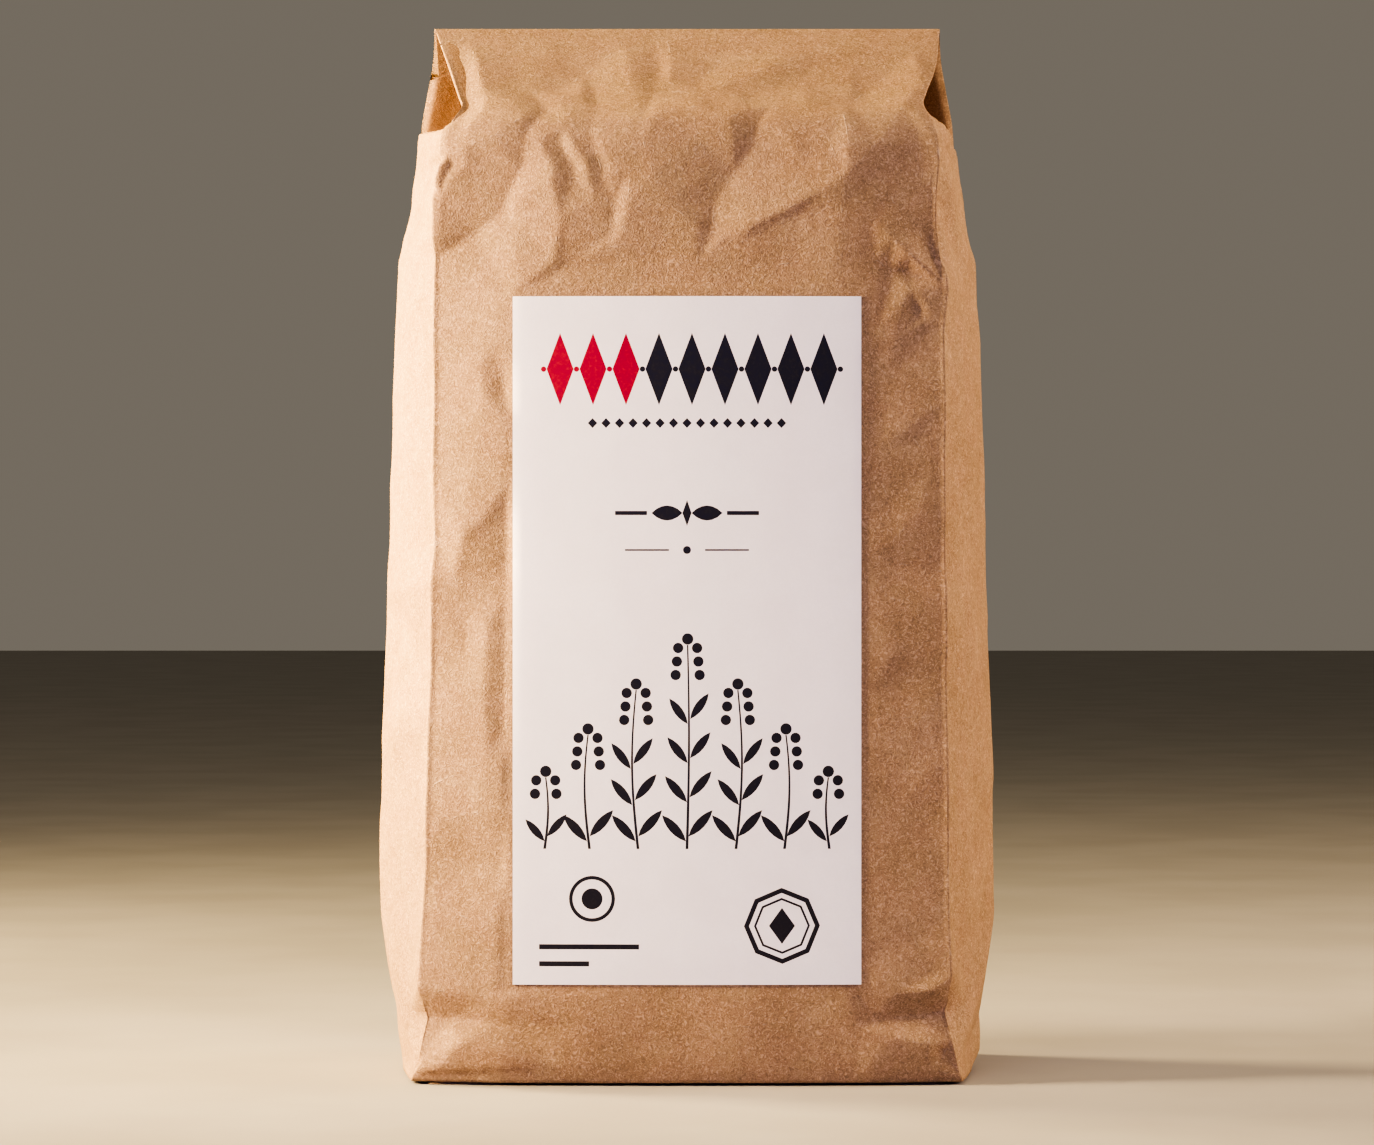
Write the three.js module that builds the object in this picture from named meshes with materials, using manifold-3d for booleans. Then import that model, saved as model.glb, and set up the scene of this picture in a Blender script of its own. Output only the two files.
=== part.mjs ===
// A shut paper bag of wheat berries, full and standing: kraft paper with side gussets and a block
// bottom. Its top is flattened to a ridge, which tucks the gussets in, and the rest of the paper is
// folded over backwards as a flap. A white paper label covers the middle of the front.
// Millimetres, +Z up. The origin is the middle of the base, and the front faces -Y.

import * as THREE from "three";
import { mergeVertices } from "three/addons/utils/BufferGeometryUtils.js";
import Module from "manifold-3d";

// Driving dimensions of the bag.
const BAG_HEIGHT = 216; // from the base to the ridge
const PANEL_HALF = 52.4; // half the flat width of the front and back panels
const GUSSET_HALF = 33; // half the flat width of a side gusset, from a panel's edge to its middle crease
const SHELF_HEIGHT = 192; // where the gussets turn in, and the panels start to lean to the ridge
const RIDGE_HALF = 1; // half the thickness of the flattened paper at the ridge
const EDGE_DEPTH = 31; // from the middle of the bag to the panels' upright edges
const FRONT_CROWN = 2.8; // how far the middle of the front stands out past its edges
const BACK_CROWN = 3.4; // how far the middle of the back stands out past its edges
const CROWN_START = -6; // height where the crowns would start, a little below the base
const CROWN_FULL = 26; // height from which the crowns are full
const CROWN_FADE = 30; // length over which a crown fades out towards the top

// The flap behind the ridge.
const FLAP_HALF = 52.2;
const FLAP_LENGTH = 33;
const FLAP_THICKNESS = 1.2;
const FLAP_LIFT = 0.6; // how far the flap stands off the back panel
const FLAP_ROOT = 0.5; // how deep the flap is set into the back panel
const FLAP_BEND = 2; // length of the bend from the ridge to the flap's straight part
const FRONT_LAP = 1.9; // how far the bend reaches down the front of the ridge
const RIDGE_ROUNDING = 0.6; // height of the rounding of the ridge's front edge

// The label, and its gap to the bag.
const LABEL_HALF = 34.9;
const LABEL_BOTTOM = 20.6;
const LABEL_TOP = 158.4;
const LABEL_THICKNESS = 0.3;
const LABEL_GAP = 0.3;

// Half widths at heights above the base: [height, half width].
const FRONT_EDGE = [
  [0, 55.7],
  [6, 54.3],
  [31, 52.9],
  [84, 52],
  [165, 51],
  [190, 49.6],
  [199, 46.8],
  [207, 49.6],
  [BAG_HEIGHT, PANEL_HALF],
];
const BACK_EDGE = [
  [0, 55.7],
  [6, 54.3],
  [31, 52.9],
  [84, 52],
  [160, 52.5],
  [180, 55.5],
  [194, 56.6],
  [204, 54.8],
  [BAG_HEIGHT, PANEL_HALF],
];
const GUSSET_CREASE = [
  [0, 59],
  [10, 61],
  [25, 62.2],
  [46, 63],
  [118, 61.4],
  [166, 59.6],
  [177, 57.2],
  [SHELF_HEIGHT, 55.6],
];

// Share of the full depth at heights above the base: [height, share].
const DEPTH_SHARE = [
  [0, 0.965],
  [5, 0.99],
  [18, 1],
  [40, 1],
  [160, 1],
  [178, 1],
  [188, 0.98],
  [SHELF_HEIGHT, 0.94],
];

// The larger creases of the front panel, each a line between two points [x, height]. A ridge has a rise
// above zero and a valley one below it, and reach is how far the crease slopes off to each side.
const FRONT_CREASES = [
  { from: [-47, 184], to: [-35, 192], rise: 0.7, reach: 7 },
  { from: [-34, 187], to: [-38, 175], rise: -1, reach: 7 },
  { from: [-38, 175], to: [-49, 168], rise: -0.8, reach: 7 },
  { from: [-28, 190], to: [-26, 170], rise: 0.8, reach: 6 },
  { from: [13, 193], to: [9, 184], rise: -1.2, reach: 7 },
  { from: [9, 184], to: [5, 172], rise: -1, reach: 7 },
  { from: [18, 186], to: [10, 174], rise: 0.9, reach: 7 },
  { from: [31, 193], to: [31, 170], rise: 0.9, reach: 7 },
  { from: [40, 171], to: [50, 161], rise: 0.8, reach: 7 },
  { from: [-46, 110], to: [-46, 103], rise: 0.8, reach: 6 },
  { from: [-38, 113], to: [-38, 103], rise: -0.7, reach: 6 },
  { from: [38, 105], to: [51, 103], rise: 0.8, reach: 7 },
  { from: [38, 80], to: [51, 83], rise: 0.6, reach: 7 },
  { from: [-54, 13], to: [-41, 12], rise: -0.9, reach: 6 },
  { from: [38, 12], to: [53, 15], rise: -0.9, reach: 6 },
];
const CALM_MARGIN = 5; // width round the label over which the creases fade in
const CALM_FOOT = 7; // height over which the creases fade in from the base
const EDGE_FADE = 8; // how sharply the creases fade out at the panel's edges

// Grid of the bag: across the panels, across the gussets, and rows in each stretch of height.
const PANEL_COLUMNS = 22;
const GUSSET_COLUMNS = 12;
const ROW_STRETCHES = [
  { top: 12, rows: 4 },
  { top: 158, rows: 22 },
  { top: 190, rows: 7 },
  { top: 195, rows: 2 },
  { top: BAG_HEIGHT, rows: 6 },
];
const LABEL_COLUMNS = 12;
const LABEL_ROWS = 20;

const KRAFT = new THREE.MeshStandardMaterial({ color: "#c69c70", roughness: 0.88, metalness: 0 });
const WHITE_PAPER = new THREE.MeshStandardMaterial({ color: "#ebe4dd", roughness: 0.7, metalness: 0 });

const { clamp, lerp, smoothstep } = THREE.MathUtils;

// A smooth curve through stops of [position, value].
function curveThrough(stops) {
  const positions = stops.map(([position]) => position);
  const values = stops.map(([, value]) => value);
  const curve = new THREE.CubicInterpolant(positions, values, 1);
  return (position) => curve.evaluate(position)[0];
}

const frontEdge = curveThrough(FRONT_EDGE);
const backEdge = curveThrough(BACK_EDGE);
const gussetCrease = curveThrough(GUSSET_CREASE);
const depthShare = curveThrough(DEPTH_SHARE);

// How far a point is up the leaning part of the panels: 0 at the shelf and below, 1 at the ridge.
function leanShare(height) {
  return clamp((height - SHELF_HEIGHT) / (BAG_HEIGHT - SHELF_HEIGHT), 0, 1);
}

// Distance from the middle of the bag to a panel's upright edge.
function edgeDepth(height) {
  return lerp(EDGE_DEPTH * depthShare(height), RIDGE_HALF, leanShare(height));
}

// How much of a panel's crown is left at a height: little at the base, and none from flatTop up.
function crownShare(height, flatTop) {
  const fade = smoothstep(height, flatTop - CROWN_FADE, flatTop);
  return smoothstep(height, CROWN_START, CROWN_FULL) * (1 - fade);
}

// Height of the creases above the plain front panel. Under the label the paper is held flat.
function creaseRelief(x, height) {
  let relief = 0;
  const point = new THREE.Vector2(x, height);
  for (const { from, to, rise, reach } of FRONT_CREASES) {
    const start = new THREE.Vector2(...from);
    const along = new THREE.Vector2(...to).sub(start);
    const share = clamp(point.clone().sub(start).dot(along) / along.lengthSq(), 0, 1);
    const distance = point.distanceTo(start.addScaledVector(along, share));
    relief += rise * Math.max(0, 1 - distance / reach);
  }
  const pastSide = Math.abs(x) - LABEL_HALF;
  const pastEnd = Math.max(height - LABEL_TOP, LABEL_BOTTOM - height);
  const pastLabel = smoothstep(Math.max(pastSide, pastEnd), 0, CALM_MARGIN);
  return relief * pastLabel * smoothstep(height, 0, CALM_FOOT);
}

// Distance of the front panel's surface in front of the middle of the bag; across runs from -1 to 1.
function frontDepth(across, height) {
  const crown = FRONT_CROWN * crownShare(height, BAG_HEIGHT) * (1 - across ** 2);
  const relief = creaseRelief(across * frontEdge(height), height) * (1 - across ** EDGE_FADE);
  return edgeDepth(height) + crown + relief;
}

function backDepth(across, height) {
  return edgeDepth(height) + BACK_CROWN * crownShare(height, SHELF_HEIGHT) * (1 - across ** 2);
}

// Half width of the bag at a place across the gusset, from -1 at the front edge to 1 at the back edge.
// Below the shelf the gusset is pushed out at its middle crease, and above it the gusset folds in as a
// flat-sided groove, whose sides keep the gusset's own width.
function halfWidth(acrossGusset, height) {
  const edge = lerp(frontEdge(height), backEdge(height), (acrossGusset + 1) / 2);
  const fromEdge = 1 - Math.abs(acrossGusset);
  if (height <= SHELF_HEIGHT) {
    return edge + (gussetCrease(height) - edge) * Math.sin((fromEdge * Math.PI) / 2);
  }
  return edge - fromEdge * Math.sqrt(GUSSET_HALF ** 2 - edgeDepth(height) ** 2);
}

// Height of a row of the grid, given as a share of all rows.
function rowHeight(share) {
  const allRows = ROW_STRETCHES.reduce((sum, { rows }) => sum + rows, 0);
  let row = share * allRows;
  let bottom = 0;
  for (const { top, rows } of ROW_STRETCHES) {
    if (row <= rows) return lerp(bottom, top, row / rows);
    row -= rows;
    bottom = top;
  }
  return BAG_HEIGHT;
}

// Moves every vertex of a geometry to place(x, y, z).
function reshape(geometry, place) {
  const position = geometry.attributes.position;
  const vertex = new THREE.Vector3();
  for (let i = 0; i < position.count; i++) {
    vertex.fromBufferAttribute(position, i);
    position.setXYZ(i, ...place(vertex.x, vertex.y, vertex.z));
  }
  return geometry;
}

// The filled bag up to its ridge: a box whose sides run from -1 to 1 and whose height runs from 0 to 1.
function bodyGeometry() {
  const rows = ROW_STRETCHES.reduce((sum, stretch) => sum + stretch.rows, 0);
  const box = new THREE.BoxGeometry(2, 2, 1, PANEL_COLUMNS, GUSSET_COLUMNS, rows);
  box.translate(0, 0, 0.5);
  return reshape(box, (across, acrossGusset, share) => {
    const height = rowHeight(share);
    const x = across * halfWidth(acrossGusset, height);
    const front = -frontDepth(across, height);
    const y = lerp(front, backDepth(across, height), (acrossGusset + 1) / 2);
    return [x, y, height];
  });
}

// The flap: a hook that wraps over the ridge and lies on the leaning part of the back panel.
function flapGeometry() {
  const ridge = new THREE.Vector2(RIDGE_HALF, BAG_HEIGHT - FLAP_THICKNESS);
  const foot = new THREE.Vector2(edgeDepth(SHELF_HEIGHT), SHELF_HEIGHT - FLAP_THICKNESS);
  const down = foot.clone().sub(ridge).normalize();
  const out = new THREE.Vector2(-down.y, down.x);
  const at = (length, height) => ridge.clone().addScaledVector(down, length).addScaledVector(out, height);
  const outside = FLAP_LIFT + FLAP_THICKNESS;
  const profile = new THREE.Shape([
    new THREE.Vector2(-RIDGE_HALF, BAG_HEIGHT - FRONT_LAP),
    new THREE.Vector2(-RIDGE_HALF, BAG_HEIGHT - RIDGE_ROUNDING),
    new THREE.Vector2(0, BAG_HEIGHT),
    new THREE.Vector2(RIDGE_HALF, BAG_HEIGHT),
    at(FLAP_BEND, outside),
    at(FLAP_LENGTH, outside),
    at(FLAP_LENGTH, -FLAP_ROOT),
    at(FLAP_BEND, -FLAP_ROOT),
  ]);
  const hook = new THREE.ExtrudeGeometry(profile, { depth: 2 * FLAP_HALF, bevelEnabled: false });
  return reshape(hook, (y, z, x) => [x - FLAP_HALF, y, z]);
}

// The label: a thin sheet that follows the front panel with a narrow gap behind it.
function labelGeometry() {
  const sheet = new THREE.BoxGeometry(2, 1, 1, LABEL_COLUMNS, 1, LABEL_ROWS);
  sheet.translate(0, 0.5, 0.5);
  return reshape(sheet, (across, layer, share) => {
    const x = across * LABEL_HALF;
    const height = lerp(LABEL_BOTTOM, LABEL_TOP, share);
    const surface = frontDepth(x / frontEdge(height), height);
    return [x, -(surface + LABEL_GAP + (1 - layer) * LABEL_THICKNESS), height];
  });
}

const wasm = await Module();
wasm.setup();

// A closed geometry as a solid.
function solidOf(geometry) {
  const bare = geometry.clone();
  bare.deleteAttribute("normal");
  bare.deleteAttribute("uv");
  const merged = mergeVertices(bare, 1e-4);
  const vertProperties = new Float32Array(merged.attributes.position.array);
  const triVerts = new Uint32Array(merged.index.array);
  return new wasm.Manifold(new wasm.Mesh({ numProp: 3, vertProperties, triVerts }));
}

// A solid as a geometry.
function geometryOf(solid) {
  const { vertProperties, triVerts } = solid.getMesh();
  const geometry = new THREE.BufferGeometry();
  geometry.setAttribute("position", new THREE.BufferAttribute(vertProperties, 3));
  geometry.setIndex(new THREE.BufferAttribute(triVerts, 1));
  geometry.computeVertexNormals();
  return geometry;
}

function makeBag() {
  const solid = solidOf(bodyGeometry()).add(solidOf(flapGeometry()));
  const bag = new THREE.Mesh(geometryOf(solid), KRAFT);
  bag.name = "bag";
  return bag;
}

function makeLabel() {
  const label = new THREE.Mesh(labelGeometry(), WHITE_PAPER);
  label.name = "label";
  return label;
}

const wheatBag = new THREE.Group();
wheatBag.add(makeBag(), makeLabel());

export default wheatBag;
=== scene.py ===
"""The looks of a full, shut kraft paper bag with a white paper label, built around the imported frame.
The front faces -Y. Lengths are in millimetres until a mesh is made, and a spot of the paper is given by
its way round the bag from the middle of the front (positive to the right) and its height."""

import math

import bpy
import numpy as np
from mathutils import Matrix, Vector
from mathutils.geometry import delaunay_2d_cdt


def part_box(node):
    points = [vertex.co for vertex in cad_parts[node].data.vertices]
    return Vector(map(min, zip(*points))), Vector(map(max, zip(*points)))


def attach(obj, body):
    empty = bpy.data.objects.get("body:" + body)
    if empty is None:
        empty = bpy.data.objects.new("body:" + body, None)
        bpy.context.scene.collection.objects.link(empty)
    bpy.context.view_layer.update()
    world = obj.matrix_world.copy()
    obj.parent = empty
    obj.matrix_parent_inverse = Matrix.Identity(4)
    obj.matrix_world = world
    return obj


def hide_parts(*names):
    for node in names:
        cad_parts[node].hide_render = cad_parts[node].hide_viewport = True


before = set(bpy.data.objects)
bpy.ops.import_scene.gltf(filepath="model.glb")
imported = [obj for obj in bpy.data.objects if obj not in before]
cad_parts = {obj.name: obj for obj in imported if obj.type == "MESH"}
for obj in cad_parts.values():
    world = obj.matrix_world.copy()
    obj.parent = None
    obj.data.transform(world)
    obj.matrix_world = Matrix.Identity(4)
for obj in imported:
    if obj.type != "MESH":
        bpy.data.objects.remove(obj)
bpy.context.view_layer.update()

MM = 0.001
LABEL_LOW, LABEL_HIGH = (np.array(corner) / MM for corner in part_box("label"))
BAG_HIGH = np.array(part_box("bag")[1]) / MM

# The paper tube: half the flat width of the front, and half that of a side gusset.
PANEL = 52.4
GUSSET = 33.0
FRONT_END = PANEL
GUSSET_END = PANEL + 2 * GUSSET
AROUND = 2 * PANEL + 2 * GUSSET

RIDGE = BAG_HIGH[2]
BODY_TOP = RIDGE - 0.7
BODY_FOOT = 0.7  # the paper's lowest upright spot, below which it is rounded to the base
FOOT_ROUNDING = ((0.25, 3), (0.4, 1.2))  # (height, inset) of the rings below it
SEAM = 14.0  # from the middle of the back to its glued seam

# The spacing of the bag's points: on the front, at its upright corners, on the gussets and on the back.
CELL = 0.64
CORNER_CELL = 0.35
CORNER = 2.1
SIDE_CELL = 2.1
BACK_CELL = 2.8


# ---------------------------------------------------------------- curves and small sums


def curve_through(*stops):
    """A smooth curve through (position, value) stops that never overshoots them."""
    place, value = np.array(stops, float).T
    step = np.diff(place)
    rise = np.diff(value) / step
    both = rise[:-1] * rise[1:]
    mean = np.where(both > 0, 2 * both / np.where(both > 0, rise[:-1] + rise[1:], 1), 0)
    slope = np.concatenate(([rise[0]], mean, [rise[-1]]))

    def at(position):
        position = np.clip(position, place[0], place[-1])
        i = np.clip(np.searchsorted(place, position, side="right") - 1, 0, len(step) - 1)
        t = (position - place[i]) / step[i]
        start = value[i] * (1 + 2 * t) + slope[i] * step[i] * t
        end = value[i + 1] * (3 - 2 * t) - slope[i + 1] * step[i] * (1 - t)
        return start * (1 - t) ** 2 + end * t**2

    return at


def smoothstep(low, high, value):
    t = np.clip((value - low) / (high - low), 0, 1)
    return t * t * (3 - 2 * t)


def mix(a, b, share):
    return a + (b - a) * share


def blur(field, rows, columns):
    """A Gaussian blur, with the spreads in cells. The columns wrap round the bag."""
    pad = int(4 * rows) + 1
    padded = np.pad(field, ((pad, pad), (0, 0)), mode="edge")
    up = np.fft.fftfreq(padded.shape[0])[:, None] * rows
    across = np.fft.fftfreq(padded.shape[1])[None, :] * columns
    soft = np.fft.ifft2(np.fft.fft2(padded) * np.exp(-2 * (math.pi**2) * (up**2 + across**2))).real
    return soft[pad:-pad]


# ---------------------------------------------------------------- the bag's plain shape

FRONT_EDGE_LEFT = curve_through(
    (0, 56), (2.5, 55), (6, 54.4), (13, 53.9), (31, 53.1), (50, 52.5), (84, 51.5), (108, 50.6),
    (123, 50.9), (165, 50.8), (176, 50.6), (181, 50.3), (185.2, 48.6), (187.4, 49.7), (190.4, 49.8),
    (192.4, 49.2), (194, 47.7), (197.6, 45.7), (199, 46.2), (RIDGE, 52.4),
)
FRONT_EDGE_RIGHT = curve_through(
    (0, 55.7), (2.5, 54.9), (6, 54.3), (14, 53.4), (31, 52.6), (84, 52.1), (125, 51.8), (154, 51.6),
    (160, 52.1), (168, 50.6), (176.6, 50.3), (185.2, 50.4), (190.1, 50.1), (193.6, 49.2), (197.6, 47.7),
    (199.5, 48.3), (204.8, 50.4), (208.5, 51.4), (RIDGE, 52.4),
)
BACK_EDGE = curve_through(
    (0, 55.7), (6, 54.3), (31, 52.9), (84, 52), (160, 52.6), (180, 55.6), (192, 56.9), (197, 56.4),
    (204, 54.6), (210.6, 53), (RIDGE, 52.4),
)
GUSSET_CREASE = curve_through(
    (0, 59), (10, 61), (25, 62.2), (46, 63), (118, 61.4), (160, 59.8), (167, 59.3), (171, 58.3),
    (177, 56.9), (186, 56), (200, 55),
)
FRONT_DEPTH = curve_through(
    (0, 31), (3, 31.9), (8, 32.8), (14, 33.6), (20, 34.1), (26, 34.2), (150, 34.2), (165, 34), (176, 33.6),
    (188, 32.6), (193.5, 30.9), (196, 28.2), (201, 20.5), (208.5, 10.4), (RIDGE, 0.6),
)
FRONT_EDGE_DEPTH_LEFT = curve_through(
    (0, 27.4), (3, 28), (8, 28.7), (14, 29), (188, 29), (192, 28.6), (195, 26.9), (197.6, 24), (206, 13),
    (RIDGE, 0.6),
)
FRONT_EDGE_DEPTH_RIGHT = curve_through(
    (0, 28.4), (3, 29.3), (8, 30.4), (14, 31), (160, 31), (188, 30.4), (192, 29.5), (195, 27.4),
    (197.6, 24.2), (206, 13), (RIDGE, 0.6),
)
BACK_DEPTH = curve_through(
    (0, 31.6), (5, 33), (22, 34.8), (60, 35.2), (140, 35.2), (170, 34.4), (184, 32.2), (190, 30.2),
    (193, 27.4), (195, 24.8), (205, 12.4), (RIDGE, 0.3),
)
BACK_EDGE_DEPTH = curve_through(
    (0, 31), (184, 31), (190, 29.6), (193, 27.4), (195, 24.8), (205, 12.4), (RIDGE, 0.3),
)

# How far the front has fallen back, from 0 in its middle to 1 at its edges. The label keeps it flatter.
CROWN_LEFT = curve_through(
    (-0.25, 0.03), (0, 0), (0.25, 0.03), (0.5, 0.11), (0.66, 0.19), (0.72, 0.3), (0.86, 0.65), (1, 1)
)
CROWN_RIGHT = curve_through(
    (-0.25, 0.05), (0, 0), (0.25, 0.05), (0.5, 0.17), (0.66, 0.3), (0.72, 0.4), (0.86, 0.7), (1, 1)
)


def shelf_height(around):
    """Where the gusset turns in to be tucked: it rises to the back on the left, and sags on the right."""
    over = np.clip((np.abs(around) - FRONT_END) / GUSSET - 1, -1, 1)
    back_share = (over + 1) / 2
    right = mix(196.6, 191, back_share) - 6 * (1 - np.abs(over))
    return np.where(around < 0, mix(193.2, 196, back_share), right)


def plain_shape(around, height):
    """The bag without its creases: the places of spots of the paper."""
    size = np.abs(around)
    on_left = around < 0
    side = np.where(on_left, -1.0, 1.0)
    front_edge = np.where(on_left, FRONT_EDGE_LEFT(height), FRONT_EDGE_RIGHT(height))
    back_edge = BACK_EDGE(height)
    front_edge_y = -np.where(on_left, FRONT_EDGE_DEPTH_LEFT(height), FRONT_EDGE_DEPTH_RIGHT(height))
    back_edge_y = BACK_EDGE_DEPTH(height)

    across = np.clip(size / PANEL, 0, 1)
    crown = np.where(on_left, CROWN_LEFT(across), CROWN_RIGHT(across))
    front_x = across * front_edge
    front_y = front_edge_y - (FRONT_DEPTH(height) + front_edge_y) * (1 - crown)

    across = np.clip((AROUND - size) / PANEL, 0, 1)
    back_x = across * back_edge
    back_y = back_edge_y + (BACK_DEPTH(height) - back_edge_y) * (1 - across**2.4)

    over = np.clip((size - FRONT_END) / GUSSET - 1, -1, 1)
    edge = mix(front_edge, back_edge, (over + 1) / 2)
    inward = 1 - np.abs(over)
    bulge = (GUSSET_CREASE(height) - edge) * (0.72 * np.sin(inward * math.pi / 2) + 0.28 * inward)
    half_depth = (back_edge_y - front_edge_y) / 2
    tuck = -inward * np.sqrt(np.maximum(GUSSET**2 - half_depth**2, 0))
    tucked = smoothstep(-0.9, 0.5, height - shelf_height(around))
    gusset_x = edge + mix(bulge, tuck, tucked)
    open_y = mix(front_edge_y, back_edge_y, (over + 1) / 2)
    tucked_y = (front_edge_y + back_edge_y) / 2 + np.sign(over) * half_depth * (1 - inward**2.5)
    gusset_y = mix(open_y, tucked_y, tucked)

    on_front, on_back = size <= FRONT_END, size >= GUSSET_END
    x = np.where(on_front, front_x, np.where(on_back, back_x, gusset_x)) * side
    y = np.where(on_front, front_y, np.where(on_back, back_y, gusset_y))
    return np.stack([x, y, height + 0 * x], axis=-1)


# ---------------------------------------------------------------- creases

# Each crease is a line of spots (x, height, rise), where the rise is how far the paper stands out there.
# Between creases the paper is stretched in flat facets. A spot past the front's edge lies on the gusset,
# as far from the edge as its x is past it.
TOP_CREASES = [
    # beside the left edge of the leaning top
    [(-49.6, 213.6, 0.1), (-47.8, 209.6, -0.4), (-46.6, 205, -0.7), (-45.8, 199, -0.4)],
    [(-45.4, 213.6, 0.3), (-43.2, 208, 0.9), (-41.8, 201, 1.1), (-35, 197.7, 1.0), (-32.6, 194.4, 0.8)],
    [(-38, 211.6, 0.1), (-30, 209, -0.1)],
    # the shaded hollow beside it
    [(-26, 201.4, -0.4), (-20.6, 205.4, -0.6), (-15.4, 210.4, -0.3)],
    [(-32.6, 200.6, 0.2), (-27, 199.4, 0.4), (-21.8, 199.6, 0.3)],
    # the short crease down from the ridge
    [(-13.4, 212, 0.1), (-12, 208, 0.2), (-11.2, 203.2, 0.3)],
    [(-8.7, 215.2, 0), (-6.4, 211.6, -0.2), (-5.9, 206, -0.4), (-6.5, 200.6, 0.1)],
    [(-3.9, 212.6, 0.1), (-3.2, 208, 0.25), (-3.6, 203.4, 0.2)],
    [(-6.5, 200.6, 0.1), (2.6, 200.2, 0.4), (10, 199.6, 0.4)],
    # the shaded hollow right of it, and the bright band that runs up to the right
    [(8.6, 212, -0.2), (6, 207, -0.4), (1.8, 203, -0.2)],
    [(6.8, 201.8, 0.3), (17, 206.4, 0.4), (27, 211.4, 0.2)],
    [(13, 200.4, -0.1), (24, 204.4, -0.3), (34, 208.4, -0.2)],
    # the bright fold beside the right edge
    [(46.4, 211, 0.2), (40.6, 204.6, -0.4), (35.4, 200.2, -0.4), (33, 197.4, 0.1)],
    [(51, 208, 0.1), (47.4, 202, 1.0), (43.8, 196.8, 1.1), (42, 194.4, 0.9)],
    # the break between the upright front and the leaning top
    [(-28.6, 196.4, 0), (-24.4, 192.4, 0.5), (-18, 195.8, 0.1), (-9.9, 192.8, 0.5), (-5.2, 195.6, 0.8),
     (1.8, 196.3, 0.9), (8.9, 194.3, 0.8), (12.6, 195.9, 0.5)],
    [(17, 196.6, 0.4), (24.6, 196.2, 0.6)],
]
UPPER_FRONT_CREASES = [
    # the hollow under the left shoulder
    [(-48, 187.4, 0.8), (-44, 188.6, 1.1), (-38, 190.9, 1.0), (-32.6, 194.4, 0.8)],
    [(-49, 185, 0.8), (-49.4, 178, 1.0), (-50, 170.6, 0.7)],
    [(-32.6, 190, 0), (-33, 187, -0.5), (-34.6, 182, -1.0), (-37.4, 175.6, -1.3), (-42.6, 171.4, -1.1),
     (-49.6, 167, -0.3)],
    # the bright cone beside it, and the fine creases that fan out
    [(-29.6, 190, 0.4), (-27, 182, 0.7), (-25.4, 174, 0.6), (-26.6, 165.6, 0.3)],
    [(-25.6, 189.4, -0.1), (-22.6, 182, -0.1)],
    [(-24.4, 192.4, 0.5), (-20.2, 184.8, 0.7), (-18.6, 178, 0.3)],
    [(-18.8, 188, 0.1), (-17, 181.6, 0)],
    [(-16.3, 187.8, 0.5), (-14.8, 183.4, 0.4)],
    [(-14.4, 178, -0.1), (-15, 171, -0.1)],
    [(-11, 183.4, 0.4), (-12, 175.6, 0.6), (-13.4, 170, 0.2)],
    # the star-shaped dent in the middle
    [(14.2, 194.4, -0.7), (13.4, 190, -1.1), (9.6, 183.6, -1.2), (5.7, 177.6, -1.0), (5, 171.2, -0.5),
     (2, 164.8, -0.2)],
    [(-8.6, 189.6, 0.5), (-7, 183, 0.5), (-3.6, 177, 0.3), (2, 172.4, 0)],
    [(2.6, 189.6, -0.2), (4.4, 183.6, -0.6)],
    [(7.4, 170.6, 0), (13, 172.6, 0.6), (20, 175.8, 0.9), (27, 179.6, 1.0), (31.9, 182.7, 1.1)],
    [(-4.4, 168.4, -0.2), (-8.6, 165.4, -0.3)],
    # the spike right of it, and the thin line that runs down from it
    [(25.6, 194.4, 0.5), (28.4, 189.6, 0.4), (30.6, 184.6, 0.7)],
    [(31.4, 194.8, 0.9), (32.2, 189, 1.3), (31.9, 182.7, 1.1), (30.9, 176.6, 0.7), (30.2, 168.6, 0.4),
     (29, 163.6, 0.1)],
    # the flat right shoulder
    [(31.9, 182.7, 1.1), (37.6, 188.4, 1.1), (42, 194.4, 0.9)],
    [(46.4, 189, -0.3), (47.4, 181, -0.5), (47.2, 174, -0.6)],
    [(37, 174, 0.4), (41, 170.4, 0.9), (44.6, 167, 1.3), (51, 161, 0.5)],
    [(41.4, 177.6, -0.3), (38.6, 182.6, 0)],
    [(46.4, 171.6, -0.4), (48.8, 168.8, -0.8), (50, 165.4, -0.5)],
    [(44.6, 163.4, -0.7), (41, 164, -0.5), (38, 165.6, -0.1)],
    [(44.6, 159.6, 0.5), (48, 156.6, 0.6)],
    [(46.4, 155.8, -0.5), (47.4, 151.4, -0.5)],
    # the paper runs in to the label
    [(-24, 164.4, -0.2), (-8, 165.4, -0.3)],
    [(10, 163.8, -0.3), (22, 165.2, -0.2)],
    [(10, 168.8, 0), (22, 174.6, 0.2)],
]
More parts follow.
